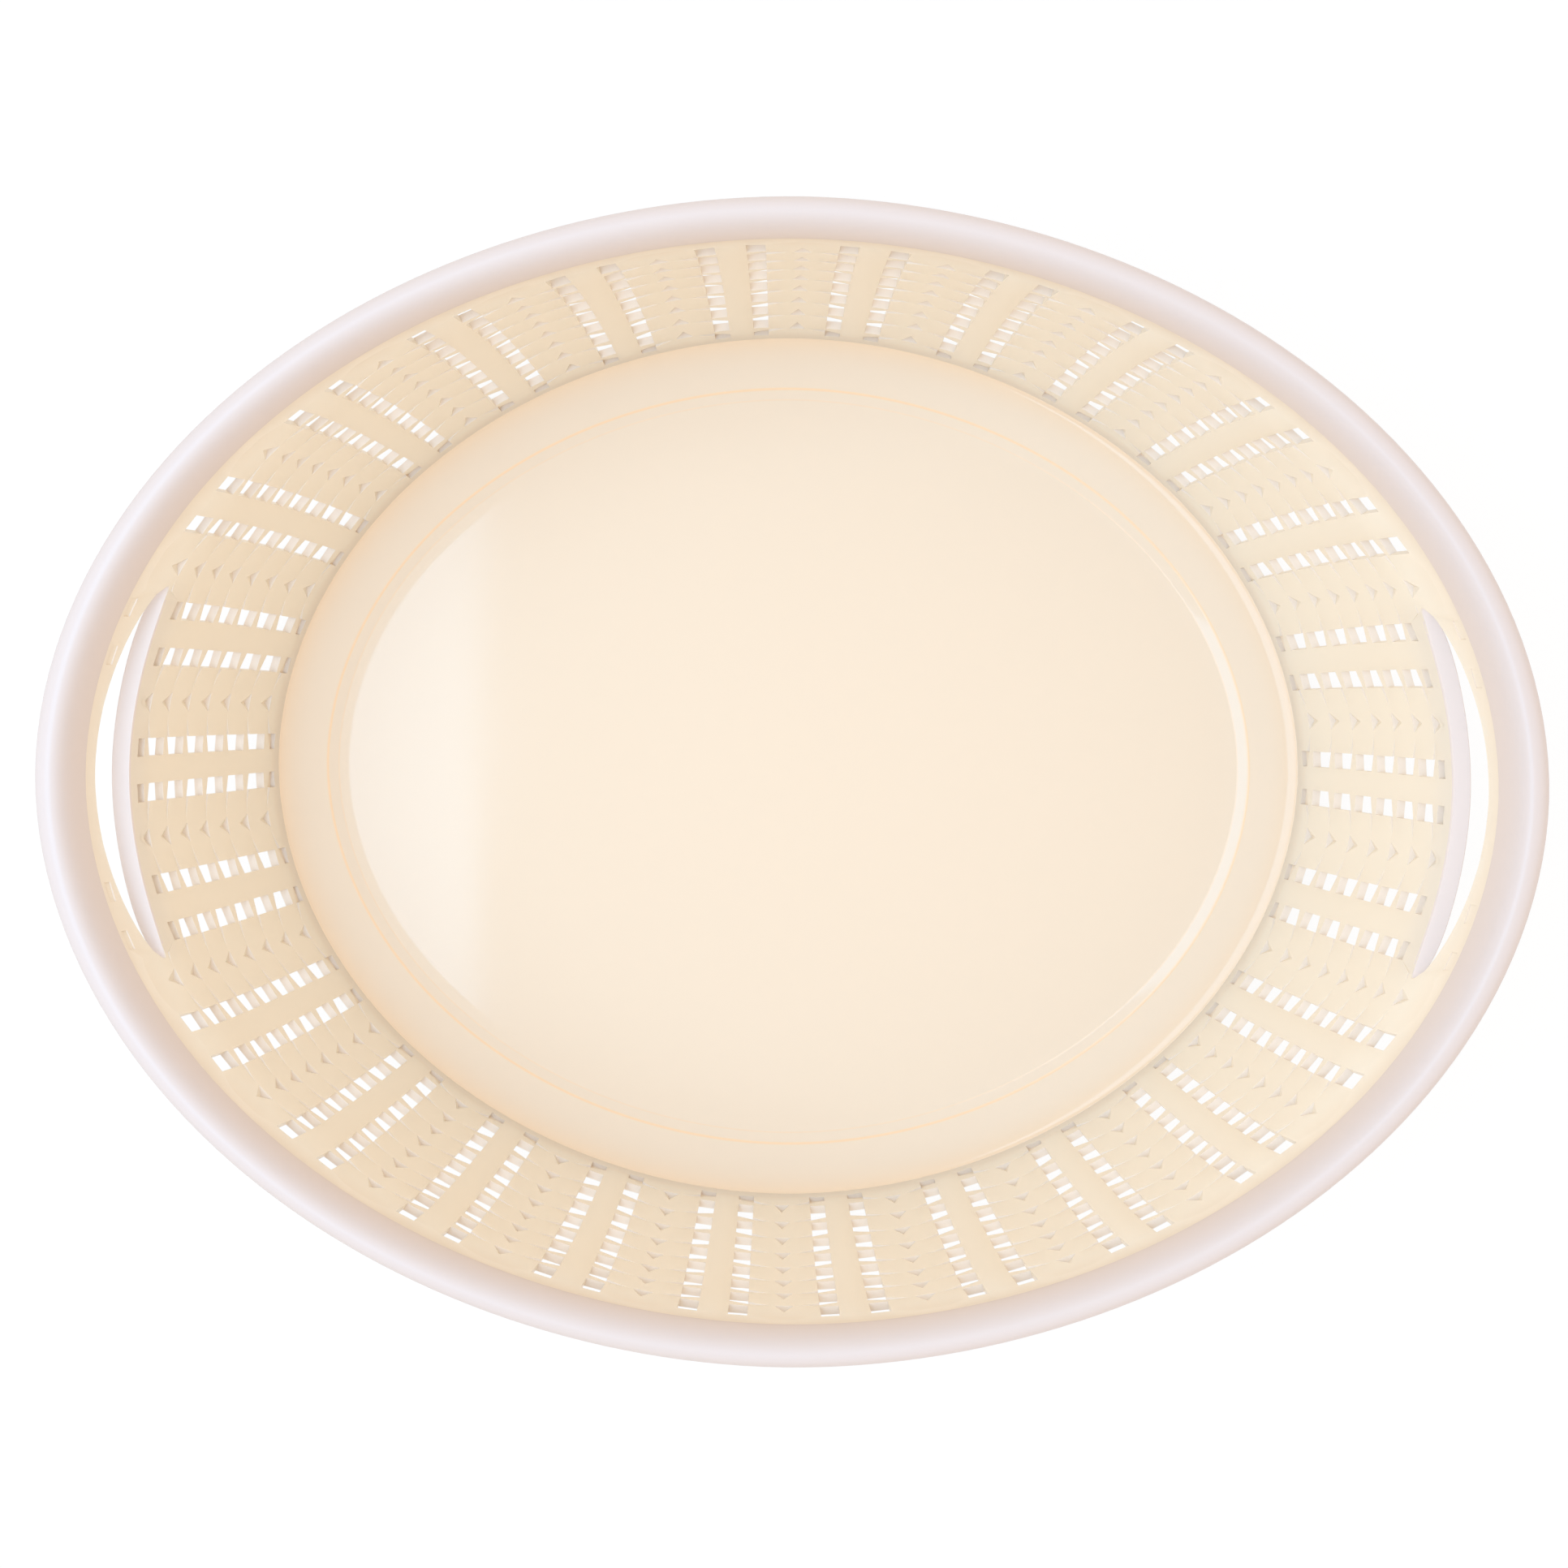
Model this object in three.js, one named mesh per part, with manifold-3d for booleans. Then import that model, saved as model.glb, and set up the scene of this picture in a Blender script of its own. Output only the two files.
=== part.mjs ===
import * as THREE from 'three';
import { mergeVertices } from 'three/addons/utils/BufferGeometryUtils.js';
import Module from 'manifold-3d';

// Oval plastic basket with a woven look, moulded as one rigid shell. Sizes are millimetres, +Z is up and
// the origin is the centre of the face that it stands on. X runs through the two hand grips, Y across.
// The sub-parts are the natural fields of the shell: the floor, its raised margin, one wall bay between
// each two upright stakes, the rim and the two hand grips. Neighbours meet face to face.

// Overall size of the rim and the shape of every oval
const RIM_LENGTH = 412;
const RIM_WIDTH = 319;
const HEIGHT = 115;
const OVAL_POWER = 1.94;

// Sheet thicknesses
const WALL_THICKNESS = 2.2;
const FLOOR_THICKNESS = 2.4;

// Floor: a flat disc that the basket stands on, a step and a margin that slopes up to the wall's foot
const DISC_LENGTH = 270.8;
const DISC_WIDTH = 221;
const STEP_RUN = 3.2;
const STEP_RISE = 1.5;
const FOOT_LENGTH = 308;
const FOOT_WIDTH = 259;
const FOOT_HEIGHT = 6.5;

// Wall: its lean at the foot, and the outward flare below the rim
const END_LEAN_DEGREES = 23.6;
const SIDE_LEAN_DEGREES = 17.2;
const END_FLARE = 4.5;
const SIDE_FLARE = 1.3;
const FLARE_HEIGHT = 21;

// Weave: stakes round the wall, and a window on each side of every stake between two strands
const BAYS_PER_HALF = 13;
const STAKE_WIDTH = 7.9;
const WINDOW_WIDTH = 5.1;
const WINDOW_HEIGHT = 8.4;
const ROW_PITCH = 11.2;
const TOP_BAND = 5.2;
const FOOT_BAND = 0.8;

// Rim: a crown that rolls over from the wall's top, with a skirt hanging down outside
const END_RIM_WIDTH = 12.7;
const SIDE_RIM_WIDTH = 10.8;
const RIM_RISE = 10;
const CREST_SHARE = 0.65;
const SHOULDER_DROP = 5;
const SKIRT_DROP = 8;

// Hand grips: a lens-shaped slot at each end, half an ellipse above its points and a flatter one below,
// over a shelf on the outside of the wall
const GRIP_LENGTH = 103;
const GRIP_DROP = 22;
const GRIP_RISE = 8.9;
const GRIP_SAG = 5;
const LIP_HEIGHT = 9;
const LIP_DEPTH = 2.6;
const LIP_EDGE = 0.8;
const LIP_FULLNESS = 10;
const LIP_CLEARANCE = 0.6;

// Facets
const RIM_SEGMENTS = 20;
const STEPS_PER_SEGMENT = 3;
const RING_STEPS = RIM_SEGMENTS * STEPS_PER_SEGMENT;
const COARSE_LEVELS = 6;
const LIP_STEPS = 16;
const SLOT_STEPS = 10;
const CROWN_STEPS = 3;
const SHOULDER_STEPS = 2;
const OVAL_SAMPLES = 1440;

// Counts, heights and half sizes that follow from the values above
const BAYS = 2 * BAYS_PER_HALF;
const WALL_TOP = HEIGHT - RIM_RISE;
const WALL_HEIGHT = WALL_TOP - FOOT_HEIGHT;
const GRIP_LEVEL = HEIGHT - GRIP_DROP;
const GRIP_FLOOR = GRIP_LEVEL - GRIP_SAG;
const TOP_HALF = { length: RIM_LENGTH / 2 - END_RIM_WIDTH, width: RIM_WIDTH / 2 - SIDE_RIM_WIDTH };
const FOOT_HALF = { length: FOOT_LENGTH / 2, width: FOOT_WIDTH / 2 };
const DISC_HALF = { length: DISC_LENGTH / 2, width: DISC_WIDTH / 2 };

// Warm cream plastic, paler where it is thick or faces up
const COLOURS = { floor: 0xf3e4d2, wall: 0xecdcc4, rim: 0xefe3d8, grip: 0xe8d2b6 };
const ROUGHNESS = 0.35;

const wasm = await Module();
wasm.setup();

/** Closed oval in a level plane, by half sizes along X and Y; it starts at the +X end. */
class Oval extends THREE.Curve {
  constructor(half, height = 0) {
    super();
    this.half = half;
    this.height = height;
    this.arcLengthDivisions = OVAL_SAMPLES;
  }

  at(angle) {
    const bend = 2 / OVAL_POWER;
    const cosine = Math.cos(angle);
    const sine = Math.sin(angle);
    return new THREE.Vector3(
      this.half.length * Math.sign(cosine) * Math.abs(cosine) ** bend,
      this.half.width * Math.sign(sine) * Math.abs(sine) ** bend,
      this.height,
    );
  }

  getPoint(share, target = new THREE.Vector3()) {
    return target.copy(this.at(share * 2 * Math.PI));
  }

  /** How far out along +X the oval lies at a given distance from the long axis. */
  reach(across) {
    const share = Math.abs(across) / this.half.width;
    return this.half.length * (1 - share ** OVAL_POWER) ** (1 / OVAL_POWER);
  }
}

function grown(half, distance) {
  return { length: half.length + distance, width: half.width + distance };
}

function wallReach(foot, top, leanDegrees, flare, height) {
  const slope = Math.tan(THREE.MathUtils.degToRad(leanDegrees));
  const climb = height - FOOT_HEIGHT;
  const bow = top - flare - foot - slope * WALL_HEIGHT;
  const flareShare = Math.max(0, (climb - WALL_HEIGHT + FLARE_HEIGHT) / FLARE_HEIGHT);
  return foot + slope * climb + bow * (climb / WALL_HEIGHT) ** 2 + flare * flareShare ** 2;
}

/** Half sizes of the wall's inner face at a height. */
function wallHalf(height) {
  return {
    length: wallReach(FOOT_HALF.length, TOP_HALF.length, END_LEAN_DEGREES, END_FLARE, height),
    width: wallReach(FOOT_HALF.width, TOP_HALF.width, SIDE_LEAN_DEGREES, SIDE_FLARE, height),
  };
}

// Stakes stand at equal distances round the wall at half its height
const midOval = new Oval(wallHalf((FOOT_HEIGHT + WALL_TOP) / 2));
const BAY_WIDTH = midOval.getLength() / BAYS;
const STAKE_SHARE = STAKE_WIDTH / 2 / BAY_WIDTH;
const WINDOW_SHARE = WINDOW_WIDTH / BAY_WIDTH;

/** Oval angle at a place counted in bays from the stake at the +X end. */
function bayAngle(place) {
  return 2 * Math.PI * midOval.getUtoTmapping(place / BAYS);
}

function wallPoint(place, height, outward) {
  return new Oval(grown(wallHalf(height), outward), height).at(bayAngle(place));
}

/** Window rows from the foot up, as many as fit between the foot band and the top band. */
function windowRows() {
  const rows = [];
  const lowest = FOOT_HEIGHT + FOOT_BAND;
  for (let top = WALL_TOP - TOP_BAND; top - WINDOW_HEIGHT >= lowest; top -= ROW_PITCH) {
    rows.unshift({ bottom: top - WINDOW_HEIGHT, top });
  }
  return rows;
}

/** Windows stay closed where the grip's shelf or slot takes their place. */
function isOpen(place, row) {
  const nearGrip = Math.abs(wallPoint(place, row.top, 0).y) < (GRIP_LENGTH + STAKE_WIDTH) / 2;
  return !(nearGrip && row.top > GRIP_FLOOR - LIP_HEIGHT);
}

/** Flat net of triangles in places and heights, which is later given the wall's shape and thickness. */
class Sheet {
  constructor() {
    this.corners = [];
    this.triangles = [];
  }

  column(place, heights) {
    return heights.map((height) => this.corners.push({ place, height }) - 1);
  }

  /** Triangles between two columns of corners, climbing on the side whose next corner is lower. */
  fillStrip(left, right) {
    const heightOf = (column, step) => this.corners[column[step]]?.height ?? Infinity;
    let leftStep = 0;
    let rightStep = 0;
    while (leftStep < left.length - 1 || rightStep < right.length - 1) {
      if (heightOf(left, leftStep + 1) <= heightOf(right, rightStep + 1)) {
        this.triangles.push([left[leftStep], right[rightStep], left[leftStep + 1]]);
        leftStep += 1;
      } else {
        this.triangles.push([left[leftStep], right[rightStep], right[rightStep + 1]]);
        rightStep += 1;
      }
    }
  }

  /** The solid between the wall's inner and outer face, closed along every edge of the net. */
  thicken() {
    const count = this.corners.length;
    const faces = [0, WALL_THICKNESS].map((outward) => (
      this.corners.map(({ place, height }) => wallPoint(place, height, outward))
    ));
    const edges = new Set();
    for (const [a, b, c] of this.triangles) {
      edges.add(`${a},${b}`).add(`${b},${c}`).add(`${c},${a}`);
    }
    const index = this.triangles.flatMap(([a, b, c]) => [a + count, b + count, c + count, a, c, b]);
    for (const edge of edges) {
      const [a, b] = edge.split(',').map(Number);
      if (!edges.has(`${b},${a}`)) {
        index.push(b + count, a + count, a, b + count, a, b);
      }
    }
    return meshGeometry(faces.flat(), index);
  }
}

function meshGeometry(points, index) {
  const geometry = new THREE.BufferGeometry().setFromPoints(points);
  geometry.setIndex(index);
  return geometry;
}

/** One wall bay from the middle of a stake to the middle of the next, with its windows open. */
function bayGeometry(bay) {
  const rows = windowRows();
  const levels = [FOOT_HEIGHT, ...rows.flatMap((row) => [row.bottom, row.top]), WALL_TOP];
  const coarse = Array.from({ length: COARSE_LEVELS }, (_, step) => (
    FOOT_HEIGHT + WALL_HEIGHT * step / (COARSE_LEVELS - 1)
  ));
  const windows = [
    [bay + STAKE_SHARE, bay + STAKE_SHARE + WINDOW_SHARE],
    [bay + 1 - STAKE_SHARE - WINDOW_SHARE, bay + 1 - STAKE_SHARE],
  ];
  const sheet = new Sheet();
  let previous = sheet.column(bay, coarse);
  for (const [start, end] of windows) {
    const left = sheet.column(start, levels);
    const right = sheet.column(end, levels);
    sheet.fillStrip(previous, left);
    for (let level = 0; level < levels.length - 1; level += 1) {
      const row = level % 2 === 1 ? rows[(level - 1) / 2] : null;
      if (!row || !isOpen((start + end) / 2, row)) {
        sheet.fillStrip(left.slice(level, level + 2), right.slice(level, level + 2));
      }
    }
    previous = right;
  }
  sheet.fillStrip(previous, sheet.column(bay + 1, coarse));
  return sheet.thicken();
}

/**
 * A closed solid through rings of points, each ring the same outline, counter-clockwise as seen from
 * before the first. The last ring joins the first when the loft goes all round.
 */
function loft(rings, outline, allRound) {
  const size = outline.length;
  const index = [];
  const spans = allRound ? rings.length : rings.length - 1;
  for (let ring = 0; ring < spans; ring += 1) {
    const here = ring * size;
    const there = ((ring + 1) % rings.length) * size;
    for (let corner = 0; corner < size; corner += 1) {
      const next = (corner + 1) % size;
      index.push(here + corner, there + next, here + next);
      index.push(here + corner, there + corner, there + next);
    }
  }
  if (!allRound) {
    const last = (rings.length - 1) * size;
    for (const [a, b, c] of THREE.ShapeUtils.triangulateShape(outline, [])) {
      index.push(a, b, c, last + a, last + c, last + b);
    }
  }
  return meshGeometry(rings.flat(), index);
}

function ringAngles(first, last) {
  const oval = new Oval(TOP_HALF);
  const angles = [];
  for (let step = first; step <= last; step += 1) {
    angles.push(2 * Math.PI * oval.getUtoTmapping(step / RING_STEPS));
  }
  return angles;
}

/** Section of the rim: x counts outward from the wall's inner face in rim widths, then in millimetres. */
function rimSection() {
  const line = (inset) => {
    const points = [];
    for (let step = 0; step < CROWN_STEPS; step += 1) {
      const turn = Math.PI / 2 * step / CROWN_STEPS;
      points.push({
        share: CREST_SHARE * (1 - Math.cos(turn)),
        offset: inset * Math.cos(turn),
        height: WALL_TOP + (RIM_RISE - inset) * Math.sin(turn),
      });
    }
    for (let step = 0; step <= SHOULDER_STEPS; step += 1) {
      const turn = Math.PI / 2 * step / SHOULDER_STEPS;
      points.push({
        share: CREST_SHARE + (1 - CREST_SHARE) * Math.sin(turn),
        offset: -inset * Math.sin(turn),
        height: HEIGHT - inset - (SHOULDER_DROP - inset) * (1 - Math.cos(turn)),
      });
    }
    points.push({ share: 1, offset: -inset, height: HEIGHT - SHOULDER_DROP - SKIRT_DROP });
    return points;
  };
  return [...line(WALL_THICKNESS), ...line(0).reverse()];
}

function rimSegment(segment) {
  const section = rimSection();
  const first = segment * STEPS_PER_SEGMENT;
  const rings = ringAngles(first, first + STEPS_PER_SEGMENT).map((angle) => (
    section.map(({ share, offset, height }) => {
      const half = {
        length: TOP_HALF.length + share * END_RIM_WIDTH + offset,
        width: TOP_HALF.width + share * SIDE_RIM_WIDTH + offset,
      };
      return new Oval(half, height).at(angle);
    })
  ));
  const outline = section.map(({ share, offset, height }) => (
    new THREE.Vector2(share * END_RIM_WIDTH + offset, height)
  ));
  return loft(rings, outline, false);
}

/** Raised margin of the floor: step, slope and the level seat under the wall's foot. */
function marginGeometry() {
  const stepHalf = grown(DISC_HALF, STEP_RUN);
  const outerHalf = grown(FOOT_HALF, WALL_THICKNESS);
  const section = [
    [DISC_HALF, 0],
    [grown(DISC_HALF, STEP_RUN / 2), 0],
    [grown(stepHalf, STEP_RUN / 2), STEP_RISE],
    [outerHalf, FOOT_HEIGHT - FLOOR_THICKNESS],
    [outerHalf, FOOT_HEIGHT],
    [FOOT_HALF, FOOT_HEIGHT],
    [stepHalf, FLOOR_THICKNESS + STEP_RISE],
    [DISC_HALF, FLOOR_THICKNESS],
  ];
  const rings = ringAngles(0, RING_STEPS - 1).map((angle) => (
    section.map(([half, height]) => new Oval(half, height).at(angle))
  ));
  const outline = section.map(([half, height]) => new THREE.Vector2(half.length, height));
  return loft(rings, outline, true);
}

function discGeometry() {
  const oval = new Oval(DISC_HALF);
  const outline = ringAngles(0, RING_STEPS - 1).map((angle) => {
    const point = oval.at(angle);
    return new THREE.Vector2(point.x, point.y);
  });
  const shape = new THREE.Shape(outline);
  return new THREE.ExtrudeGeometry(shape, { depth: FLOOR_THICKNESS, bevelEnabled: false });
}

/** Height of the slot's lower edge at a distance from the long axis. */
function slotFloor(across) {
  return GRIP_LEVEL - GRIP_SAG * Math.sqrt(1 - (2 * across / GRIP_LENGTH) ** 2);
}

/** Shelf under the slot at the +X end: it follows the slot's lower edge and runs out to thin points. */
function lipGeometry() {
  const behind = (height, across) => (
    new Oval(grown(wallHalf(height), WALL_THICKNESS + LIP_CLEARANCE)).reach(across)
  );
  const rings = [];
  for (let step = 0; step <= LIP_STEPS; step += 1) {
    const share = Math.sin(Math.PI * (step / LIP_STEPS - 0.5));
    const across = share * GRIP_LENGTH / 2;
    const depth = LIP_EDGE + (LIP_DEPTH - LIP_EDGE) * (1 - share ** LIP_FULLNESS);
    const top = slotFloor(across);
    const bottom = top - LIP_HEIGHT;
    const backTop = behind(top, across);
    const backBottom = behind(bottom, across);
    rings.push([
      new THREE.Vector3(backBottom, across, bottom),
      new THREE.Vector3(backBottom + LIP_EDGE, across, bottom),
      new THREE.Vector3(backTop + depth, across, top),
      new THREE.Vector3(backTop, across, top),
    ]);
  }
  const outline = rings[0].map((point) => new THREE.Vector2(point.x, point.z));
  return loft(rings, outline, false);
}

function toSolid(geometry) {
  const bare = geometry.clone();
  bare.deleteAttribute('normal');
  bare.deleteAttribute('uv');
  const merged = mergeVertices(bare);
  return new wasm.Manifold(new wasm.Mesh({
    numProp: 3,
    vertProperties: new Float32Array(merged.attributes.position.array),
    triVerts: new Uint32Array(merged.index.array),
  }));
}

function toGeometry(solid) {
  const { vertProperties, triVerts } = solid.getMesh();
  const geometry = new THREE.BufferGeometry();
  geometry.setAttribute('position', new THREE.BufferAttribute(vertProperties, 3));
  geometry.setIndex(new THREE.BufferAttribute(triVerts, 1));
  return geometry;
}

/** Bar along X with the slot's outline, which stands in both slots. */
function slotSolid() {
  const shape = new THREE.Shape();
  shape.absellipse(0, GRIP_LEVEL, GRIP_LENGTH / 2, GRIP_RISE, 0, Math.PI);
  shape.absellipse(0, GRIP_LEVEL, GRIP_LENGTH / 2, GRIP_SAG, Math.PI, 2 * Math.PI);
  const options = { depth: RIM_LENGTH, bevelEnabled: false, curveSegments: SLOT_STEPS };
  const geometry = new THREE.ExtrudeGeometry(shape, options);
  geometry.translate(0, 0, -RIM_LENGTH / 2);
  geometry.applyMatrix4(new THREE.Matrix4().makeBasis(
    new THREE.Vector3(0, 1, 0),
    new THREE.Vector3(0, 0, 1),
    new THREE.Vector3(1, 0, 0),
  ));
  return toSolid(geometry);
}

/** Block over the whole plan between two heights. */
function blockSolid(bottom, top) {
  const geometry = new THREE.BoxGeometry(RIM_LENGTH, RIM_WIDTH, top - bottom);
  geometry.translate(0, 0, (bottom + top) / 2);
  return toSolid(geometry);
}

function addMesh(group, name, geometry, colour) {
  const material = new THREE.MeshStandardMaterial({
    color: colour,
    roughness: ROUGHNESS,
    metalness: 0,
  });
  const mesh = new THREE.Mesh(geometry, material);
  mesh.name = name;
  group.add(mesh);
  return mesh;
}

function numbered(stem, number) {
  return `${stem}_${String(number).padStart(2, '0')}`;
}

function addFloor(group) {
  addMesh(group, 'floor_disc', discGeometry(), COLOURS.floor);
  addMesh(group, 'floor_margin', marginGeometry(), COLOURS.floor);
}

/** The two bays beside each end stake are parted by the slot; the bays next to them are only notched. */
function addWall(group) {
  const above = blockSolid(GRIP_LEVEL, HEIGHT);
  const below = blockSolid(0, GRIP_LEVEL);
  const slot = slotSolid();
  for (let bay = 0; bay < BAYS; bay += 1) {
    const name = numbered('wall_bay', bay + 1);
    const geometry = bayGeometry(bay);
    const besideEndStake = bay % BAYS_PER_HALF === 0 || (bay + 1) % BAYS_PER_HALF === 0;
    const sides = [bay, bay + 1].map((place) => Math.abs(wallPoint(place, GRIP_LEVEL, 0).y));
    if (besideEndStake) {
      const solid = toSolid(geometry).subtract(slot);
      addMesh(group, name, toGeometry(solid.subtract(above)), COLOURS.wall);
      const band = solid.subtract(below);
      addMesh(group, numbered('grip_band', bay + 1), toGeometry(band), COLOURS.grip);
    } else if (Math.min(...sides) < GRIP_LENGTH / 2) {
      addMesh(group, name, toGeometry(toSolid(geometry).subtract(slot)), COLOURS.wall);
    } else {
      addMesh(group, name, geometry, COLOURS.wall);
    }
  }
}

function addRim(group) {
  for (let segment = 0; segment < RIM_SEGMENTS; segment += 1) {
    addMesh(group, numbered('rim_segment', segment + 1), rimSegment(segment), COLOURS.rim);
  }
}

function addGripLips(group) {
  addMesh(group, 'grip_lip_right', lipGeometry(), COLOURS.grip);
  addMesh(group, 'grip_lip_left', lipGeometry(), COLOURS.grip).rotation.z = Math.PI;
}

const basket = new THREE.Group();
addFloor(basket);
addWall(basket);
addRim(basket);
addGripLips(basket);

export default basket;
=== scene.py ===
"""Oval plastic basket with a woven-look wall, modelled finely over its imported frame. Sizes are metres."""

import logging
import math
from collections.abc import Callable
from dataclasses import dataclass, field, fields, replace
from enum import Enum
from functools import cached_property

import bmesh
import bpy
from bpy.types import ID, Material, Mesh, Node, NodeSocket, NodeTree, Object, World
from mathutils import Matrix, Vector


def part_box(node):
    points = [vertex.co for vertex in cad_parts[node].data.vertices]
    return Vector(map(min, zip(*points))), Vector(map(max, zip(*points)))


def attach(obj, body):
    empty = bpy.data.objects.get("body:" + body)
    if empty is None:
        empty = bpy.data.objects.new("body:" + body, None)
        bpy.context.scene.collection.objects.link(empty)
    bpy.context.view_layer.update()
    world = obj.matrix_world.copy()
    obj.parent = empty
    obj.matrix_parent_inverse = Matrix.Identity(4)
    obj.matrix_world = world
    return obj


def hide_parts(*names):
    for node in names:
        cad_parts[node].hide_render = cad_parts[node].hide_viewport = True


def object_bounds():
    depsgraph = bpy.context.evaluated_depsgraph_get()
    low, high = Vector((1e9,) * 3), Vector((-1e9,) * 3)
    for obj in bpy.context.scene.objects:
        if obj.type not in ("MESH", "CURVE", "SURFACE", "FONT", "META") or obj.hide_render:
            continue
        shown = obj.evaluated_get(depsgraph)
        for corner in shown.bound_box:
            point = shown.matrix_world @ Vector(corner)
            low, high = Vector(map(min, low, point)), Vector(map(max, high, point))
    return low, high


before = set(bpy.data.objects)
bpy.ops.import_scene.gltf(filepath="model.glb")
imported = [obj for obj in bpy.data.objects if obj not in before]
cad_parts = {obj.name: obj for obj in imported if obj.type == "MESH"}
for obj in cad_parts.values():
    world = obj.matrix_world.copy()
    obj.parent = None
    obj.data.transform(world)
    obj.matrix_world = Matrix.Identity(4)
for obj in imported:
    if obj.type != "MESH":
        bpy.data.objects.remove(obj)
cad_box = [list(corner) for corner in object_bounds()]

MM = 0.001
# Point attribute that carries painted warm shade, from 0 to 1.
PAINTED_SHADE = "warmth"
MERGE_DISTANCE = 0.001 * MM
ARC_SAMPLES = 3600
ARC_COUNT = 720
log = logging.getLogger("basket")

Pair = tuple[float, float]
Triple = tuple[float, float, float]
Face = tuple[int, ...]
Corner = tuple[str, int, int, int]


def arithmetic(operation: str, turned: bool = False) -> Callable:
    """Makes an operator for Term.

    Args:
        operation: What the Math node does.
        turned: True for the reflected form.

    Returns:
        The method that adds the node.
    """
    def act(self: "Term", other: "Number") -> "Term":
        """Adds the Math node."""
        return self.maths(operation, *((other, self) if turned else (self, other)))
    return act


class Term:
    """One number in a node tree. Arithmetic on it adds Math nodes to the tree."""

    def __init__(self, tree: NodeTree, socket: NodeSocket) -> None:
        """Keeps the output socket that carries the number, and its tree."""
        self.tree = tree
        self.socket = socket

    def maths(self, operation: str, *values: "Number") -> "Term":
        """Adds one Math node.

        Args:
            operation: The node's operation.
            values: Its inputs, in order.

        Returns:
            The node's result.
        """
        node = self.tree.nodes.new("ShaderNodeMath")
        node.operation = operation
        for socket, value in zip(node.inputs, values):
            if isinstance(value, Term):
                self.tree.links.new(value.socket, socket)
            else:
                socket.default_value = value
        return Term(self.tree, node.outputs[0])

    __add__ = __radd__ = arithmetic("ADD")
    __sub__ = arithmetic("SUBTRACT")
    __rsub__ = arithmetic("SUBTRACT", turned=True)
    __mul__ = __rmul__ = arithmetic("MULTIPLY")
    __truediv__ = arithmetic("DIVIDE")
    __rtruediv__ = arithmetic("DIVIDE", turned=True)
    __pow__ = arithmetic("POWER")

    def __abs__(self) -> "Term":
        """Size without sign."""
        return self.maths("ABSOLUTE", self)


Number = Term | float


def sine(angle: Number) -> Number:
    """Sine of a plain number or of a number in a node tree."""
    return angle.maths("SINE", angle) if isinstance(angle, Term) else math.sin(angle)


def cosine(angle: Number) -> Number:
    """Cosine of a plain number or of a number in a node tree."""
    return angle.maths("COSINE", angle) if isinstance(angle, Term) else math.cos(angle)


def sign(value: Number) -> Number:
    """Sign of a plain number or of a number in a node tree."""
    return value.maths("SIGN", value) if isinstance(value, Term) else math.copysign(1.0, value)


class NodeWeb:
    """A node tree that is filled by one method."""

    def __init__(self, tree: NodeTree, family: str = "") -> None:
        """Keeps the tree that new nodes go into, and what all their type names start with."""
        self.tree = tree
        self.family = family

    def node(self, kind: str, settings: dict | None = None, inputs: dict | None = None) -> Node:
        """Adds a node.

        Args:
            kind: The node's type name.
            settings: Its properties, which are set first.
            inputs: For each input a value, a Term, a socket, or a node whose first output is meant.

        Returns:
            The new node.
        """
        node = self.tree.nodes.new(self.family + kind)
        for name, value in (settings or {}).items():
            setattr(node, name, value)
        for name, value in (inputs or {}).items():
            socket = node.inputs[name]
            if isinstance(value, Term):
                value = value.socket
            elif isinstance(value, Node):
                value = value.outputs[0]
            if isinstance(value, NodeSocket):
                self.tree.links.new(value, socket)
            else:
                socket.default_value = value
        return node

    def term(self, socket: NodeSocket) -> Term:
        """Wraps one of the tree's sockets as a number."""
        return Term(self.tree, socket)


def emptied(owner: Material | World) -> NodeWeb:
    """Clears the nodes of a material or world and gives its tree."""
    owner.use_nodes = True
    owner.node_tree.nodes.clear()
    return NodeWeb(owner.node_tree, "ShaderNode")


@dataclass(frozen=True)
class OvalWall:
    """The wall's inner face: ovals that widen with height. Each field is a number or a node tree's input."""

    bays: Number
    power: Number
    foot_height: Number
    top_height: Number
    foot_x: Number
    foot_y: Number
    top_x: Number
    top_y: Number
    lean_x: Number
    lean_y: Number
    flare_x: Number
    flare_y: Number
    flare_height: Number
    arc_1: Number = 0.0
    arc_2: Number = 0.0
    arc_3: Number = 0.0

    def half(self, axis: str, height: Number) -> Number:
        """Half size of the oval at a height.

        Args:
            axis: "x" for the half length or "y" for the half width.
            height: Where to measure.

        Returns:
            The half size.
        """
        names = (f"{part}_{axis}" for part in ("foot", "top", "lean", "flare"))
        foot, top, lean, flare = (getattr(self, name) for name in names)
        tall = self.top_height - self.foot_height
        climb = height - self.foot_height
        bow = top - flare - foot - lean * tall
        into_flare = (climb - tall + self.flare_height) / self.flare_height
        flare_share = (into_flare + abs(into_flare)) / 2
        return foot + lean * climb + bow * (climb / tall) ** 2 + flare * flare_share ** 2

    def spot(self, place: Number, height: Number, outward: Number) -> tuple[Number, Number]:
        """X and Y of a place on the wall.

        Args:
            place: Distance round the wall, in bays of equal length from the +X end.
            height: Height above the ground.
            outward: Distance outward from the inner face.

        Returns:
            The two coordinates.
        """
        turn = place / self.bays * math.tau
        angle = turn + self.arc_1 * sine(turn * 2) + self.arc_2 * sine(turn * 4) + self.arc_3 * sine(turn * 6)
        return tuple(
            (self.half(axis, height) + outward) * sign(part) * abs(part) ** (2 / self.power)
            for axis, part in (("x", cosine(angle)), ("y", sine(angle)))
        )


def oval_point(half: Pair, power: float, angle: float, height: float) -> Vector:
    """The point of a level oval at an angle from its +X end. A power of 2 makes the oval an ellipse."""
    parts = zip(half, (math.cos(angle), math.sin(angle)))
    return Vector((*(size * math.copysign(abs(part) ** (2 / power), part) for size, part in parts), height))


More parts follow.
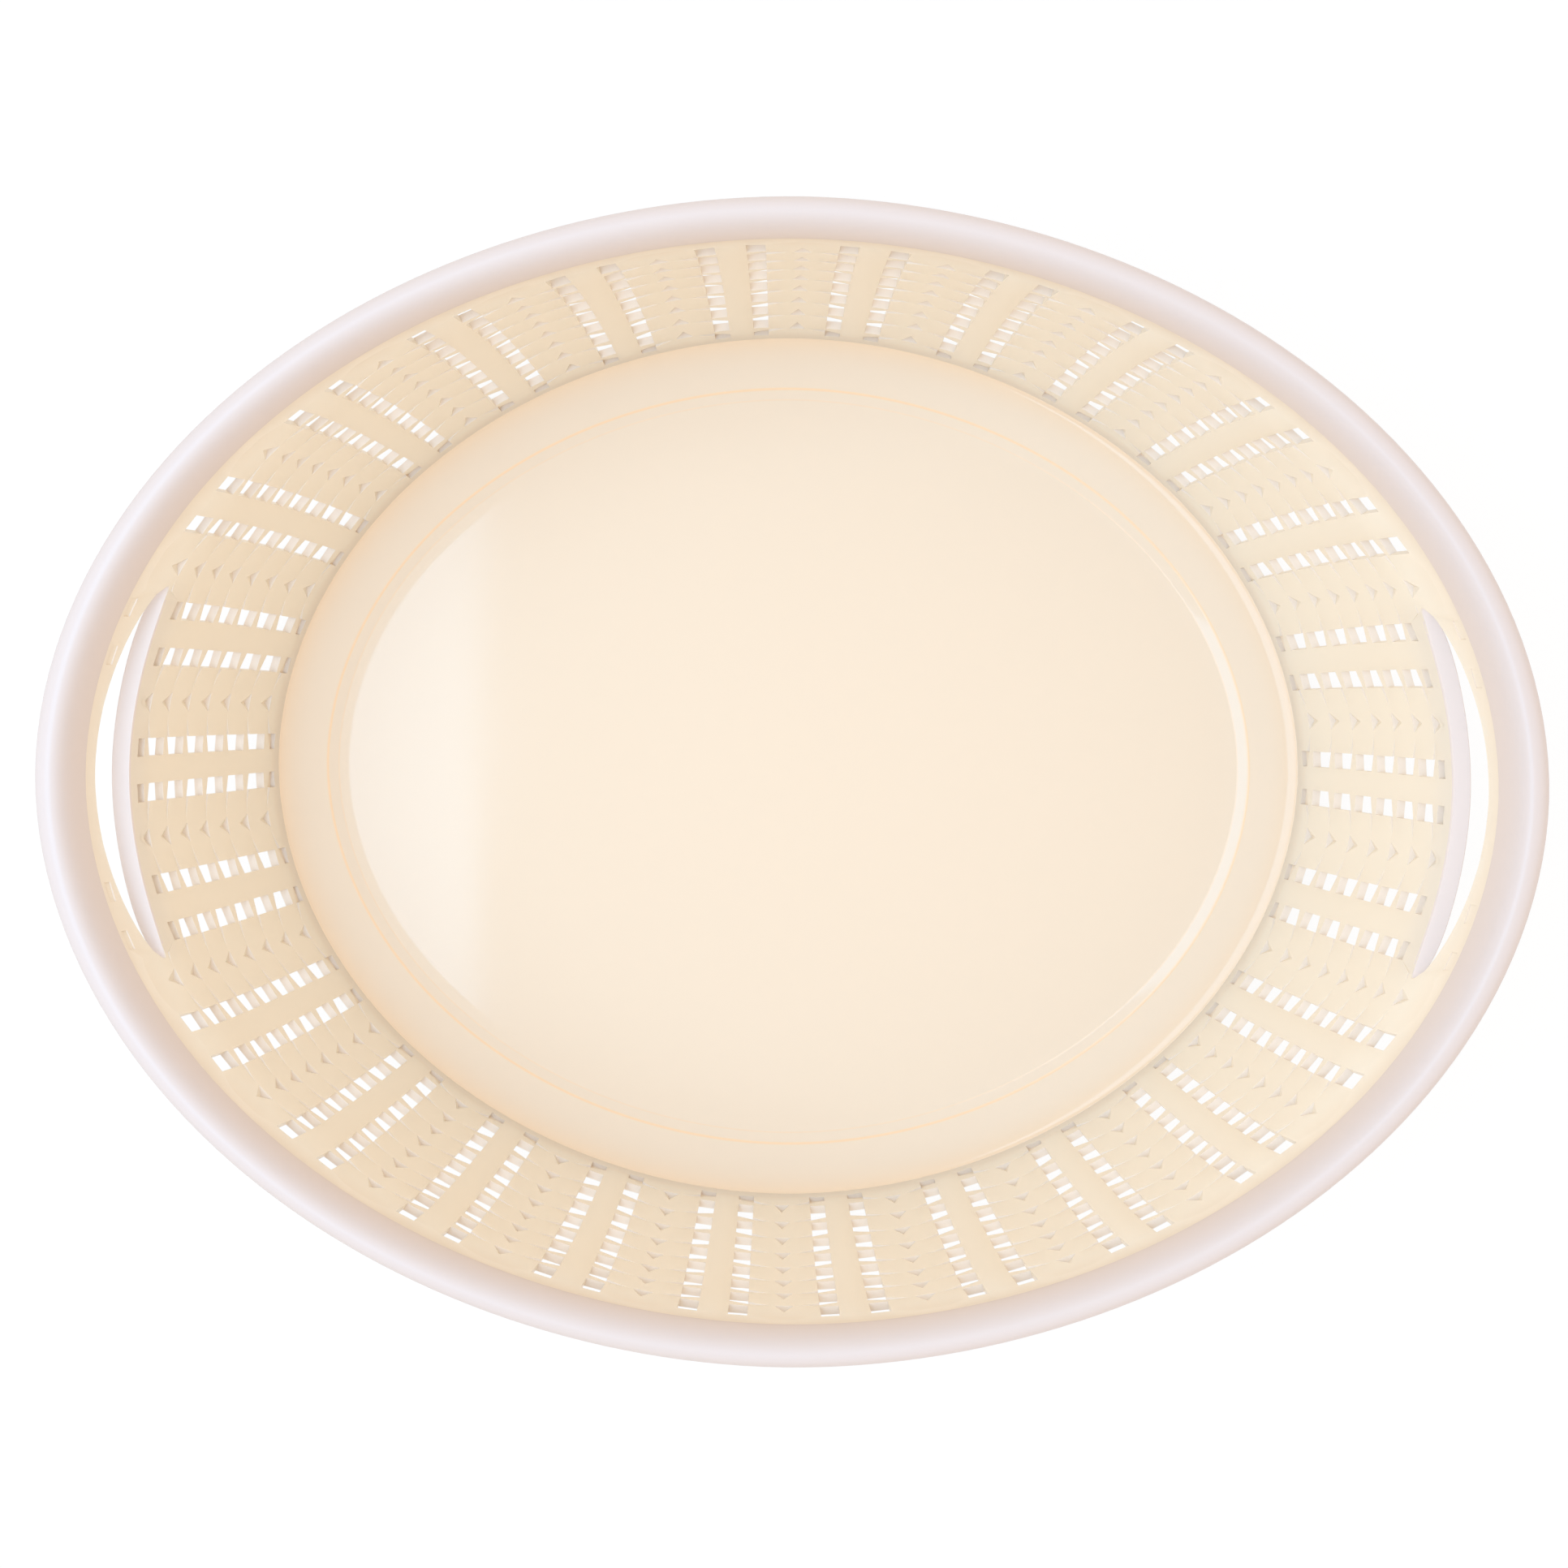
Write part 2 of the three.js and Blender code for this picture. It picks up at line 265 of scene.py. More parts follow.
def equal_angles(half: Pair, power: float, count: int) -> list[float]:
    """Oval angles that part the oval into equal lengths.

    Args:
        half: Half length and half width.
        power: 2 for an ellipse.
        count: How many lengths.

    Returns:
        One angle for each length's start.
    """
    points = [oval_point(half, power, math.tau * i / ARC_SAMPLES, 0) for i in range(ARC_SAMPLES + 1)]
    travelled = [0.0]
    for before, after in zip(points, points[1:]):
        travelled.append(travelled[-1] + (after - before).length)
    angles = []
    sample = 0
    for step in range(count):
        target = travelled[-1] * step / count
        while travelled[sample + 1] < target:
            sample += 1
        share = (target - travelled[sample]) / (travelled[sample + 1] - travelled[sample])
        angles.append(math.tau * (sample + share) / ARC_SAMPLES)
    return angles


def arc_ripples(half: Pair, power: float, terms: int) -> list[float]:
    """Sine series that turns an even share of the oval's length into its angle.

    Args:
        half: Half length and half width.
        power: 2 for an ellipse.
        terms: How many terms to keep.

    Returns:
        The factor of each term.
    """
    angles = enumerate(equal_angles(half, power, ARC_COUNT))
    pairs = [(angle, math.tau * i / ARC_COUNT) for i, angle in angles]
    return [
        2 / ARC_COUNT * sum((angle - turn) * math.sin(2 * (k + 1) * turn) for angle, turn in pairs)
        for k in range(terms)
    ]


@dataclass(frozen=True)
class Basket:
    """Driving sizes of the basket. What the frame holds is read from it."""

    power: float = 1.94
    sheet: float = 2.2 * MM
    floor_sheet: float = 2.4 * MM
    step_run: float = 3.2 * MM
    step_rise: float = 1.5 * MM
    bays: int = 26
    end_lean: float = math.radians(23.6)
    side_lean: float = math.radians(17.2)
    end_flare: float = 4.5 * MM
    side_flare: float = 1.3 * MM
    flare_height: float = 21 * MM
    rim_rise: float = 10 * MM
    end_rim: float = 12.7 * MM
    side_rim: float = 10.8 * MM
    grip_length: float = 103 * MM
    grip_middle: float = 22 * MM
    grip_rise: float = 8.9 * MM
    grip_sag: float = 5.0 * MM
    wider_end_bays: float = 0.006
    disc_half: Pair = tuple(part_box("floor_disc")[1][:2])
    margin_half: Pair = tuple(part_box("floor_margin")[1][:2])
    foot_height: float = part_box("floor_margin")[1][2]
    rim_half: Pair = tuple(cad_box[1][:2])
    height: float = cad_box[1][2]

    @property
    def foot_half(self) -> Pair:
        """Half sizes of the wall's inner face at its foot."""
        return self.margin_half[0] - self.sheet, self.margin_half[1] - self.sheet

    @property
    def wall_top(self) -> float:
        """Height where the wall ends and the rim begins."""
        return self.height - self.rim_rise

    @property
    def top_half(self) -> Pair:
        """Half sizes of the wall's inner face at its top."""
        return self.rim_half[0] - self.end_rim, self.rim_half[1] - self.side_rim

    def grip_edge(self, across: float, reach: float) -> float:
        """Height of a hand slot's edge, half an ellipse that reaches so far over or under the slot's ends."""
        share = min(1.0, abs(across) / (self.grip_length / 2))
        return self.height - self.grip_middle + reach * math.sqrt(1 - share ** 2)

    def middle_half(self, wall: OvalWall) -> Pair:
        """Half sizes of the wall half way up."""
        middle = (self.foot_height + self.wall_top) / 2
        return wall.half("x", middle), wall.half("y", middle)

    def wall(self) -> OvalWall:
        """The wall's shape in plain numbers.

        Returns:
            The shape.
        """
        wall = OvalWall(
            bays=self.bays, power=self.power, foot_height=self.foot_height, top_height=self.wall_top,
            foot_x=self.foot_half[0], foot_y=self.foot_half[1],
            top_x=self.top_half[0], top_y=self.top_half[1],
            lean_x=math.tan(self.end_lean), lean_y=math.tan(self.side_lean),
            flare_x=self.end_flare, flare_y=self.side_flare, flare_height=self.flare_height,
        )
        ripples = arc_ripples(self.middle_half(wall), self.power, 3)
        return replace(wall, arc_1=ripples[0] + self.wider_end_bays, arc_2=ripples[1], arc_3=ripples[2])


def placed(name: str, data: ID) -> Object:
    """Puts a mesh, camera or light into the scene as a new object."""
    item = bpy.data.objects.new(name, data)
    bpy.context.scene.collection.objects.link(item)
    return item


def mesh_of(name: str, points: list[Vector], faces: list[Face], warmth: list[float]) -> Mesh:
    """A mesh whose doubled points are merged and whose faces point outwards.

    Args:
        name: The mesh's name.
        points: Its points.
        faces: Its faces, as indices of points.
        warmth: Painted warm shade at each point, from 0 to 1.

    Returns:
        The new mesh.
    """
    mesh = bpy.data.meshes.new(name)
    mesh.from_pydata(points, [], faces)
    work = bmesh.new()
    work.from_mesh(mesh)
    layer = work.verts.layers.float.new(PAINTED_SHADE)
    for point, value in zip(work.verts, warmth):
        point[layer] = value
    bmesh.ops.remove_doubles(work, verts=work.verts, dist=MERGE_DISTANCE)
    bmesh.ops.recalc_face_normals(work, faces=work.faces)
    work.to_mesh(mesh)
    work.free()
    return mesh


def lofted(name: str, rings: list[list[Vector]], warmth: list[float], all_round: bool = False) -> Mesh:
    """A closed mesh through rings of as many points each.

    Args:
        name: The mesh's name.
        rings: The rings, each closed on itself.
        warmth: Painted warm shade at each point of one ring, or at each point of all.
        all_round: True where the last ring joins the first; otherwise both end rings are filled.

    Returns:
        The new mesh.
    """
    size = len(rings[0])
    points = [point for ring in rings for point in ring]
    faces = []
    for here in range(len(rings) if all_round else len(rings) - 1):
        near = here * size
        far = (here + 1) % len(rings) * size
        for corner in range(size):
            beside = (corner + 1) % size
            faces.append((near + corner, near + beside, far + beside, far + corner))
    if not all_round:
        faces += [tuple(range(size)), tuple(range(len(points) - size, len(points)))]
    return mesh_of(name, points, faces, warmth * (len(points) // len(warmth)))


@dataclass(frozen=True)
class Piece:
    """A visible piece. Each kind has a name, a crease angle in degrees, stems and a method for its mesh."""

    basket: Basket
    finish: Material

    def build(self) -> Object:
        """Makes the piece, which stands for the CAD nodes whose names start with its stems.

        Returns:
            The finished piece.
        """
        mesh = self.mesh()
        if not mesh.materials:
            mesh.materials.append(self.finish)
        mesh.shade_smooth()
        mesh.set_sharp_from_angle(angle=math.radians(self.crease))
        piece = placed(self.name, mesh)
        nodes = [name for stem in self.stems for name in sorted(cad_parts) if name.startswith(stem)]
        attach(piece, "root")
        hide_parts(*nodes)
        log.info("%s: %d faces, stands for %d nodes", self.name, len(mesh.polygons), len(nodes))
        return piece


class Weave(Enum):
    """Which halves of a bay run calm beside the hand slot, and which of these carry a mark near the rim."""

    PLAIN = (False, False, False, False)
    AFTER_END_STAKE = (True, True, False, True)
    BEFORE_END_STAKE = (True, True, True, False)
    SLOT_AT_START = (True, False, True, False)
    SLOT_AT_END = (False, True, False, True)


@dataclass
class WovenBay:
    """One bay of the woven wall, flat: X in shares of a bay, Y the height, Z outward from the inner face.

    Strands run behind the stakes and come to the front in the middle of the bay, where each one's top edge
    stands proud of the next strand's leg and leaves a three-cornered pocket over the outer stake.

    In every method a column runs from 0 at one stake to twice MIDDLE at the next. A row is a strand with the
    window over it, or the row count for the band under the rim. A level runs from 0 at a strand's lower edge
    to 5 at its window's top, and a side is "front", "back", or "closed" for a closed window's base.
    """

    basket: Basket
    bay_width: float
    weave: Weave
    stake_half: float = 3.95 * MM
    stake_crown: float = 2.5 * MM
    window_width: float = 5.1 * MM
    window_height: float = 8.4 * MM
    row_pitch: float = 11.2 * MM
    top_band: float = 5.2 * MM
    slit_floor: float = 1.5 * MM
    slit_depth: float = 1.0 * MM
    pocket_half: float = 2.8 * MM
    pocket_height: float = 5.2 * MM
    pocket_depth: float = 1.5 * MM
    foot_fillet: float = 0.9 * MM
    fillet_height: float = 3.0 * MM
    edge_rounding: float = 0.45 * MM
    calm_height: float = 84 * MM
    backed_depth: float = 1.7 * MM
    calm_fade: float = 4.0 * MM
    mark_floor: float = 102.0 * MM
    mark_height: float = 2.0 * MM
    mark_depth: float = 0.35 * MM
    # Painted warm shade: how far it reaches up from the foot and down from the wall's top, and its strength
    # at each.
    warm_foot: float = 3.5 * MM
    warm_top: float = 6.0 * MM
    foot_warmth: float = 0.35
    top_warmth: float = 0.25
    points: list[Vector] = field(default_factory=list)
    faces: list[Face] = field(default_factory=list)
    names: dict[Corner, int] = field(default_factory=dict)

    WINDOW_START = 2
    WINDOW_END = 3
    MIDDLE = 7
    LAST = 2 * MIDDLE
    LEG_SHARES = (0.38, 0.75)
    RISE_SHARES = (-0.14, -0.14, -0.14, 0.14, 0.6, 0.94, 1.0, 1.0)
    STAKE_RELIEF = (-0.45, -0.38, 0.0)
    STRAND_RECESS = (0.35, 0.0, -0.3, -0.35, -0.3)
    STRAND_PROUD = -0.35
    FRONT_SWELL = (0.0, 0.28, 0.45, 0.8, 1.0, 0.9)
    BACK_SWELL = (0.0, 0.75, 1.0, 0.8, 0.2, 0.0)
    BACK_FLAT = (2.5, 2.4, 2.2, 2.2, 2.1, 2.25, 3.0, 3.2)
    BACK_BULGE = (0.8, 0.7, 0.1, 0.1, 0.25, 0.0, 0.0, 0.0)

    @cached_property
    def columns(self) -> list[float]:
        """Distances from the stake's centre to each column of points, up to the middle of the bay."""
        middle = self.bay_width / 2
        window_end = self.stake_half + self.window_width
        pocket = middle - self.pocket_half
        leg = [window_end + share * (pocket - window_end) for share in self.LEG_SHARES]
        return [0.0, self.stake_crown, self.stake_half, window_end, *leg, pocket, middle]

    @cached_property
    def rows(self) -> list[Pair]:
        """Bottom and top of the windows, from the foot up; the lowest is only a shallow slit."""
        slit = self.basket.foot_height + self.slit_floor
        rows: list[Pair] = []
        top = self.basket.wall_top - self.top_band
        while top > slit:
            rows.insert(0, (max(top - self.window_height, slit), top))
            top -= self.row_pitch
        return rows

    @property
    def band(self) -> int:
        """Row number of the band under the rim."""
        return len(self.rows)

    def twin(self, column: int) -> int:
        """The column in the bay's first half that a column mirrors."""
        return min(column, self.LAST - column)

    def calm(self, column: int) -> bool:
        """True for a column beside the hand slot."""
        at_start, at_end = self.weave.value[:2]
        reach = self.MIDDLE if at_start and at_end else self.WINDOW_END
        return at_start and column <= reach or at_end and self.LAST - column <= reach

    def window(self, column: int, row: int) -> Pair:
        """Bottom and top of a row's windows at a column."""
        bottom, top = self.rows[row]
        if not self.calm(column) or row < self.band - 2:
            return bottom, top
        if row == self.band - 2:
            return bottom, self.calm_height
        return self.mark_floor, self.mark_floor + self.mark_height

    def edge(self, column: int, row: int) -> float:
        """Height of the edge between a row's window and the strand above it."""
        top = self.window(column, row)[1]
        if self.calm(column) and row >= self.band - 2:
            return top
        return top + self.RISE_SHARES[self.twin(column)] * (self.row_pitch - self.window_height)

    def height(self, column: int, row: int, level: int) -> float:
        """Height of one level of a strand and its window at a column."""
        if row == self.band:
            start = self.edge(column, row - 1)
            return (start, (start + self.basket.wall_top) / 2, self.basket.wall_top)[level]
        bottom = self.window(column, row)[0]
        start = self.edge(column, row - 1) if row > 0 else self.basket.foot_height
        end = self.edge(column, row)
        high = end - self.edge_rounding
        if self.twin(column) == self.MIDDLE and row > 0:
            apex = self.rows[row][0] + self.pocket_height
            return (start, apex, apex, apex, high, end)[level]
        return (start, (start + bottom) / 2, bottom, (bottom + high) / 2, high, end)[level]

    def relief(self, twin: int, level: int) -> float:
        """Relief of the inner face where the weave is undisturbed."""
        if twin <= self.WINDOW_START:
            return self.STAKE_RELIEF[twin] * MM
        recess = self.STRAND_RECESS[twin - self.WINDOW_END]
        return (recess + (self.STRAND_PROUD - recess) * self.FRONT_SWELL[level]) * MM

    def front(self, column: int, row: int, level: int, height: float) -> float:
        """Relief of the inner face at a known height."""
        twin = self.twin(column)
        relief = self.relief(twin, level)
        if row == self.band:
            relief = self.relief(twin, 5) if level == 0 else 0.0
        elif twin == self.MIDDLE and level == 0 and row > 0:
            relief = self.pocket_depth
        if self.calm(column):
            relief *= min(1.0, max(0.0, (self.calm_height - height) / self.calm_fade))
        if row == 0:
            near = max(0.0, 1 - (height - self.basket.foot_height) / self.fillet_height)
            relief = min(relief, self.relief(twin, 4)) * (1 - near) - self.foot_fillet * near ** 2
        return relief

    def back(self, column: int, row: int, level: int, height: float) -> float:
        """Relief of the outer face, where the strands cover the stakes and the outer stake shows between."""
        calm = self.calm(column) and height > self.calm_height - self.edge_rounding
        if calm or row == self.band and level > 0 or row == level == 0:
            return self.basket.sheet
        twin = self.twin(column)
        return (self.BACK_FLAT[twin] + self.BACK_BULGE[twin] * self.BACK_SWELL[level]) * MM

    def point(self, side: str, column: int, row: int, level: int) -> int:
        """Index of a point of the bay, which is made the first time."""
        fanned = side == "front" and self.twin(column) == self.MIDDLE and 0 < row < self.band
        if fanned and level in (1, 2):
            level = 3
        name = (side, column, row, level)
        if name not in self.names:
            across = self.columns[self.twin(column)]
            if column > self.MIDDLE:
                across = self.bay_width - across
            height = self.height(column, row, level)
            if side == "closed":
                outward = {0: self.slit_depth, self.band - 2: self.backed_depth}.get(row, self.mark_depth)
            else:
                outward = (self.front if side == "front" else self.back)(column, row, level, height)
            self.names[name] = len(self.points)
            self.points.append(Vector((across / self.bay_width, height, outward)))
        return self.names[name]

    def add(self, *corners: Corner) -> None:
        """Adds a face through corners that are named as point names them."""
        self.faces.append(tuple(self.point(*corner) for corner in corners))

    def strip(self, column: int, *edges: tuple[str, int, int]) -> None:
        """Adds a face between two edges from a column to the next, each told by side, row and level."""
        near, far = ([(side, c, row, level) for c in (column, column + 1)] for side, row, level in edges)
        self.add(*near, *reversed(far))

    def fill_cell(self, column: int, row: int) -> None:
        """One strand and the window over it, between a column and the next."""
        first_half = column < self.MIDDLE
        calm = self.calm(column) and self.calm(column + 1)
        missing = calm and row == self.band - 1 and not self.weave.value[2 if first_half else 3]
        opening = self.WINDOW_START if first_half else self.LAST - self.WINDOW_START - 1
        window = column == opening and not missing
        closed = window and (row == 0 or calm and row >= self.band - 2)
        for level in range(5):
            hole = window and level >= 2
            if not hole:
                self.front_face(column, row, level)
            if not hole or closed:
                self.strip(column, ("back", row, level), ("back", row, level + 1))
        if window:
            self.frame_window(column, row, closed)
        elif row < self.band - 1 and max(self.twin(column), self.twin(column + 1)) > self.WINDOW_START:
            self.strip(column, ("front", row, 5), ("front", row + 1, 0))

    def front_face(self, column: int, row: int, level: int) -> None:
        """One inner face; beside the pocket the faces fan out from its upper corner."""
        middle = self.MIDDLE
        if row == 0 or level > 2 or column not in (middle - 1, middle):
            self.strip(column, ("front", row, level), ("front", row, level + 1))
            return
        outer = middle - 1 if column < middle else middle + 1
        corner = ("front", outer, row, level)
        apex = ("front", middle, row, 1)
        self.add(corner, apex, ("front", outer, row, level + 1))
        if level == 0:
            self.add(corner, ("front", middle, row, 0), apex)

    def frame_window(self, column: int, row: int, closed: bool) -> None:
        """Top, sill and sides of a window, down to the outer face or to a closed window's base."""
        base = "closed" if closed else "back"
        if closed:
            self.strip(column, (base, row, 2), (base, row, 5))
        self.strip(column, ("front", row + 1, 0), (base, row, 5) if closed else (base, row + 1, 0))
        self.strip(column, ("front", row, 2), (base, row, 2))
        levels = (5, 2) if closed else (5, 4, 3, 2)
        for c in (column, column + 1):
            edge = [("front", c, row, level) for level in (2, 3, 4, 5)] + [("front", c, row + 1, 0)]
            self.add(*edge, *((base, c, row, level) for level in levels))

    def warmth(self, height: float) -> float:
        """Painted warm shade at a height, deepest in the foot's crease and faint under the rim."""
        foot = max(0.0, 1 - (height - self.basket.foot_height) / self.warm_foot)
        top = max(0.0, 1 - (self.basket.wall_top - height) / self.warm_top)
        return self.foot_warmth * foot + self.top_warmth * top

    def mesh(self) -> Mesh:
        """Makes the flat bay.

        Returns:
            Its mesh, open at both sides where the next bays join on.
        """
        band = self.band
        for column in range(self.LAST):
            for row in range(band):
                self.fill_cell(column, row)
            for side in ("front", "back"):
                for level in (0, 1):
                    self.strip(column, (side, band, level), (side, band, level + 1))
            self.strip(column, ("front", 0, 0), ("back", 0, 0))
            self.strip(column, ("front", band, 2), ("back", band, 2))
        # Painted warm shade at each point.
        warmth = [self.warmth(point.y) for point in self.points]
        return mesh_of(f"flat_bay_{self.weave.name.lower()}", self.points, self.faces, warmth)


@dataclass(frozen=True)
class WovenWall(Piece):
    """The whole wall: bays repeated round the oval, bent to it, and cut by the two hand slots."""

    cutter_steps: int = 32
    joint: float = 0.004 * MM
    name = "woven_wall"
    stems = ("wall_bay", "grip_band")
    crease: float = 24

    def weave_of(self, bay: int) -> Weave:
        """The weave of a bay, counted from the +X end."""
        half = self.basket.bays // 2
        return {
            0: Weave.AFTER_END_STAKE,
            half - 1: Weave.BEFORE_END_STAKE,
            1: Weave.SLOT_AT_START,
            half - 2: Weave.SLOT_AT_END,
        }.get(bay % half, Weave.PLAIN)

    def slot_cutter(self) -> Mesh:
        """Makes the bar along X whose section is the slot.

        Returns:
            Its mesh.
        """
        basket = self.basket
        section = []
        for step in range(2 * self.cutter_steps):
            turn = math.pi * step / self.cutter_steps
            across = basket.grip_length / 2 * math.cos(turn)
            reach = basket.grip_rise if turn < math.pi else -basket.grip_sag
            section.append((across, basket.grip_edge(across, reach)))
        rings = [[Vector((x, y, z)) for y, z in section] for x in (-basket.rim_half[0], basket.rim_half[0])]
        return lofted("slot_cutter", rings, [0.0])

    def tree(self) -> tuple[NodeTree, dict[str, str]]:
        """Builds the node tree that repeats, bends and cuts the bays.

        Returns:
            The tree, and the identifier of each input by its name.
        """
        tree = bpy.data.node_groups.new("woven_wall", "GeometryNodeTree")
        web = NodeWeb(tree)
        sockets = {"Bay places": "NodeSocketGeometry"}
        sockets.update({weave.name: "NodeSocketObject" for weave in Weave})
        sockets.update({"Slot cutter": "NodeSocketObject", "Finish": "NodeSocketMaterial"})
        sockets.update({item.name: "NodeSocketFloat" for item in fields(OvalWall)})
        names = {}
        for name, kind in sockets.items():
            names[name] = tree.interface.new_socket(name, in_out="INPUT", socket_type=kind).identifier
        tree.interface.new_socket("Wall", in_out="OUTPUT", socket_type="NodeSocketGeometry")
        given = web.node("NodeGroupInput").outputs

        kind_of = web.term(web.node(
            "GeometryNodeInputNamedAttribute", {"data_type": "FLOAT"}, {"Name": "weave"},
        ).outputs["Attribute"])
        joined = web.node("GeometryNodeJoinGeometry")
        for number, weave in enumerate(Weave):
            bay = web.node("GeometryNodeObjectInfo", inputs={"Object": given[weave.name]})
            copies = web.node("GeometryNodeInstanceOnPoints", inputs={
                "Points": given["Bay places"],
                "Selection": kind_of.maths("COMPARE", kind_of, float(number), 0.5),
                "Instance": bay.outputs["Geometry"],
            })
            tree.links.new(copies.outputs["Instances"], joined.inputs[0])
        flat = web.node("GeometryNodeRealizeInstances", inputs={0: joined})

        parts = web.node("ShaderNodeSeparateXYZ", inputs={0: web.node("GeometryNodeInputPosition")}).outputs
        place, height, outward = (web.term(part) for part in parts)
        shape = OvalWall(**{item.name: web.term(given[item.name]) for item in fields(OvalWall)})
        x, y = shape.spot(place, height, outward)
        bent = web.node("ShaderNodeCombineXYZ", inputs={0: x, 1: y, 2: height})
        wall = web.node("GeometryNodeSetPosition", inputs={0: flat, "Position": bent})
        closed = web.node("GeometryNodeMergeByDistance", inputs={0: wall, "Distance": self.joint})
        cutter = web.node("GeometryNodeObjectInfo", inputs={"Object": given["Slot cutter"]})
        cut = web.node(
            "GeometryNodeMeshBoolean",
            {"operation": "DIFFERENCE", "solver": "EXACT"},
            {"Mesh 1": closed, "Mesh 2": cutter.outputs["Geometry"]},
        )
        real = web.node("GeometryNodeRealizeInstances", inputs={0: cut})
        dressed = web.node("GeometryNodeSetMaterial", inputs={0: real, "Material": given["Finish"]})
        web.node("NodeGroupOutput", inputs={0: dressed})
        return tree, names

    def mesh(self) -> Mesh:
        """Repeats, bends and cuts the bays.

        Returns:
            The wall's mesh.
        """
        basket = self.basket
        shape = basket.wall()
        half = basket.middle_half(shape)
        angles = equal_angles(half, basket.power, ARC_COUNT)
        ring = [oval_point(half, basket.power, angle, 0) for angle in angles]
        around = sum((after - before).length for before, after in zip(ring, ring[1:] + ring[:1]))
        meshes = {weave.name: WovenBay(basket, around / basket.bays, weave).mesh() for weave in Weave}
        meshes["Slot cutter"] = self.slot_cutter()
        objects = {name: placed(mesh.name, mesh) for name, mesh in meshes.items()}
        places = bpy.data.meshes.new("bay_places")
        places.from_pydata([(bay, 0, 0) for bay in range(basket.bays)], [], [])
        kinds = places.attributes.new("weave", "FLOAT", "POINT")
        order = list(Weave)
        for bay in range(basket.bays):
            kinds.data[bay].value = order.index(self.weave_of(bay))
        carrier = placed("wall_carrier", places)

        tree, names = self.tree()
        modifier = carrier.modifiers.new("weave", "NODES")
        modifier.node_group = tree
        for name, item in objects.items():
            modifier[names[name]] = item
        modifier[names["Finish"]] = self.finish
        for item in fields(OvalWall):
            modifier[names[item.name]] = float(getattr(shape, item.name))

        graph = bpy.context.evaluated_depsgraph_get()
        mesh = bpy.data.meshes.new_from_object(carrier.evaluated_get(graph))
        carrier.modifiers.clear()
        for item in [carrier, *objects.values()]:
            bpy.data.objects.remove(item)
        mesh.name = self.name
        return mesh


@dataclass(frozen=True)
class Rim(Piece):
    """The rolled rim: a crown that rises from the wall's top and a skirt that hangs down outside."""

    crest_share: float = 0.65
    crown_bend: tuple[Triple, Triple] = ((0.24, 0.075, 0.45), (0.40, 0.36, 1.0))
    shoulder_drop: float = 5 * MM
    skirt_drop: float = 8 * MM
    edge_rounding: float = 0.35 * MM
    # Painted warm shade on the crown's rise from the wall: the share of the rim's width it fades over, and
    # its strength.
    warm_share: float = 0.4
    warmth: float = 0.2
    stations: int = 208
    outer_steps: tuple[int, int] = (16, 10)
    inner_steps: tuple[int, int] = (6, 4)
    name = "rolled_rim"
    stems = ("rim_segment",)
    crease: float = 40

    def line(self, inset: float, crown_steps: int, steps: int) -> list[tuple[float, ...]]:
        """One face of the rim's sheet, from the wall's top over the crest to the skirt's edge.

        Args:
            inset: Distance inward from the outer face.
            crown_steps: Points on the rise to the crest, which leaves the wall without a kink.
            steps: Points from the crest to the skirt.

        Returns:
            For each point its shares of the rim's width at the ends and the sides, its further outward
            offset and its height.
        """
        basket = self.basket
        bends = [Vector((x, y, z * basket.rim_rise)) for x, y, z in self.crown_bend]
        crest = Vector((self.crest_share, self.crest_share, basket.rim_rise))
        points = []
        for step in range(crown_steps):
            share = step / crown_steps
            place = 3 * share * (1 - share) ** 2 * bends[0]
            place += 3 * share ** 2 * (1 - share) * bends[1] + share ** 3 * crest
            turn = math.pi / 2 * share
            height = basket.wall_top + place.z - inset * math.sin(turn)
            points.append((place.x, place.y, inset * math.cos(turn), height))
        for step in range(steps + 1):
            turn = math.pi / 2 * step / steps
            fall = (self.shoulder_drop - inset) * (1 - math.cos(turn))
            share = self.crest_share + (1 - self.crest_share) * math.sin(turn)
            points.append((share, share, -inset * math.sin(turn), basket.height - inset - fall))
        skirt_edge = basket.height - self.shoulder_drop - self.skirt_drop
        rounding = self.edge_rounding
        points.append((1.0, 1.0, -inset, skirt_edge + rounding))
        points.append((1.0, 1.0, -inset + (rounding if inset else -rounding), skirt_edge))
        return points

    def mesh(self) -> Mesh:
        """Carries the rim's section round the oval.

        Returns:
            The rim's mesh.
        """
        basket = self.basket
        section = self.line(0.0, *self.outer_steps) + self.line(basket.sheet, *self.inner_steps)[::-1]
        end, side = basket.top_half
        ovals = [
            ((end + x * basket.end_rim + offset, side + y * basket.side_rim + offset), height)
            for x, y, offset, height in section
        ]
        rings = [
            [oval_point(half, basket.power, angle, height) for half, height in ovals]
            for angle in equal_angles(basket.rim_half, basket.power, self.stations)
        ]
        # Painted warm shade, strongest where the crown leaves the wall.
        warmth = [self.warmth * max(0.0, 1 - item[0] / self.warm_share) for item in section]
        return lofted(self.name, rings, warmth, all_round=True)


@dataclass(frozen=True)
class FloorRing:
    """One oval of the floor's surface."""

    half: Pair
    height: float
    # Painted warm shade along this oval.
    warmth: float = 0.0


